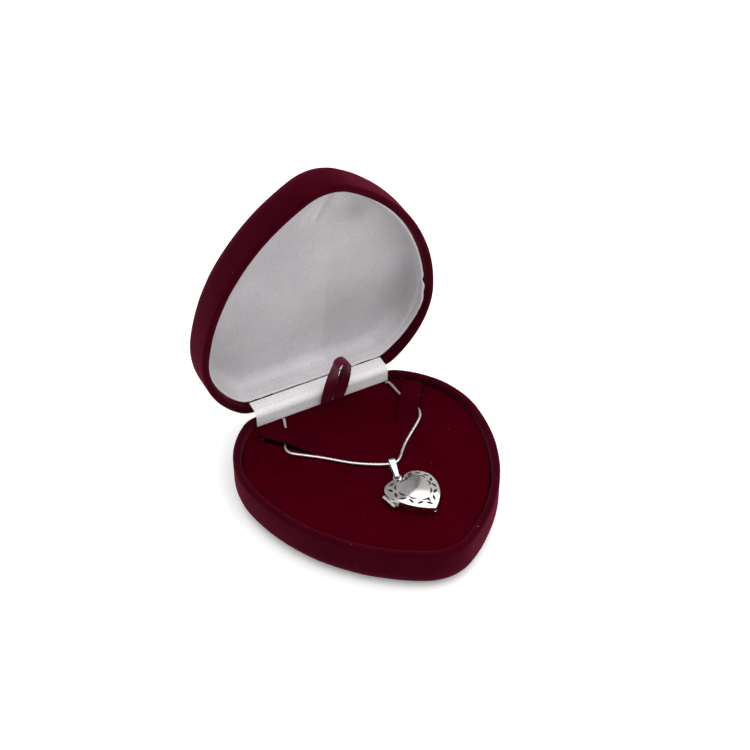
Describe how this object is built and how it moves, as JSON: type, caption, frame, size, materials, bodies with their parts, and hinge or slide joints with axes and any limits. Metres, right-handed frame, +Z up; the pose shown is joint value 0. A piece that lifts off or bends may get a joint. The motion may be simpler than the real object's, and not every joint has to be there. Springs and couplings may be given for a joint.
{
  "type": "necklace presentation box",
  "caption": "Heart-shaped velvet box with a hinged lid, satin lining and ribbon pull, holding a heart locket on a snake chain.",
  "frame": {"origin": "centre of the base's underside, half way between the tip and the back face", "axes": "+Z up, +Y towards the hinge, +X to the right seen from the tip"},
  "size_m": [0.0972, 0.1141, 0.1156],
  "materials": {
    "burgundy_velvet": "short pile velvet",
    "shell_plastic": "moulded, covered",
    "lining_paper": "plain",
    "insert_card": "plain",
    "white_satin": "satin weave",
    "burgundy_satin": "satin ribbon",
    "hinge_steel": "nickel plated",
    "silver": "polished silver",
    "oxidised_silver": "darkened"
  },
  "bodies": {
    "base": {"base_shell": "shell_plastic", "base_velvet_cover": "burgundy_velvet", "base_velvet_bottom": "burgundy_velvet", "base_floor_paper": "lining_paper", "hinge_leaf_base": "hinge_steel", "hinge_pin": "hinge_steel", "hinge_rivets_base": "hinge_steel", "hinge_satin_strip": "white_satin"},
    "lid": {"lid_shell": "shell_plastic", "lid_velvet_cover": "burgundy_velvet", "lid_satin_lining": "white_satin", "hinge_leaf_lid": "hinge_steel", "hinge_rivets_lid": "hinge_steel"},
    "insert": {"insert_velvet_face": "burgundy_velvet", "insert_card": "insert_card", "insert_collar": "insert_card", "snake_chain": "silver", "snake_chain_coil": "silver", "chain_end_caps": "silver", "clasp_body": "silver", "end_ring": "silver"},
    "flap_left": {"flap_left": "burgundy_velvet"},
    "flap_right": {"flap_right": "burgundy_velvet"},
    "ribbon": {"ribbon_pull": "burgundy_satin"},
    "clasp_bolt": {"clasp_bolt": "silver"},
    "bail": {"bail": "silver", "jump_ring": "silver"},
    "locket": {"locket_back": "silver", "locket_eye": "silver", "locket_hinge_pin": "silver", "photo_frame_back": "silver"},
    "locket_front": {"locket_front": "silver", "locket_backing": "oxidised_silver", "photo_frame_front": "silver"}
  },
  "joints": [
    {"name": "lid_hinge", "type": "hinge", "parent": "base", "child": "lid", "pos_m": [0, 0.04968, 0.0164], "axis": [-1, 0, 0], "range_deg": [-82.6, 0], "deforming": ["hinge_satin_strip"]},
    {"name": "insert_lift", "type": "slide", "parent": "base", "child": "insert", "axis": [0, 0, 1], "range_m": [0, 0.009]},
    {"name": "flap_left_lift", "type": "hinge", "parent": "insert", "child": "flap_left", "pos_m": [-0.0144, 0.02369, 0.0136], "axis": [0.766, 0.6428, 0], "range_deg": [0, 35]},
    {"name": "flap_right_lift", "type": "hinge", "parent": "insert", "child": "flap_right", "pos_m": [0.0215, 0.02039, 0.0136], "axis": [0.7869, -0.617, 0], "range_deg": [0, 35]},
    {"name": "ribbon_fold", "type": "hinge", "parent": "insert", "child": "ribbon", "pos_m": [0.0027, 0.04444, 0.0146], "axis": [1, 0, 0], "range_deg": [0, 67.83]},
    {"name": "bail_swing", "type": "hinge", "parent": "insert", "child": "bail", "pos_m": [0.0038, 0.00068, 0.01575], "axis": [-0.9659, 0.2588, 0], "range_deg": [0, 40]},
    {"name": "locket_swing", "type": "hinge", "parent": "bail", "child": "locket", "pos_m": [0.00202, -0.00799, 0.01528], "axis": [-0.9903, -0.1392, 0], "range_deg": [0, 45]},
    {"name": "locket_open", "type": "hinge", "parent": "locket", "child": "locket_front", "pos_m": [-0.00711, -0.01634, 0.01533], "axis": [0.1392, -0.9903, 0], "range_deg": [0, 140]},
    {"name": "clasp_slide", "type": "hinge", "parent": "insert", "child": "clasp_bolt", "pos_m": [-0.02885, 0.02618, 0.0037], "axis": [0, 0, 1], "range_deg": [0, 60]}
  ],
  "couplings": [
    {"joint": "ribbon_fold", "follows": "lid_hinge", "ratio": -0.82}
  ]
}
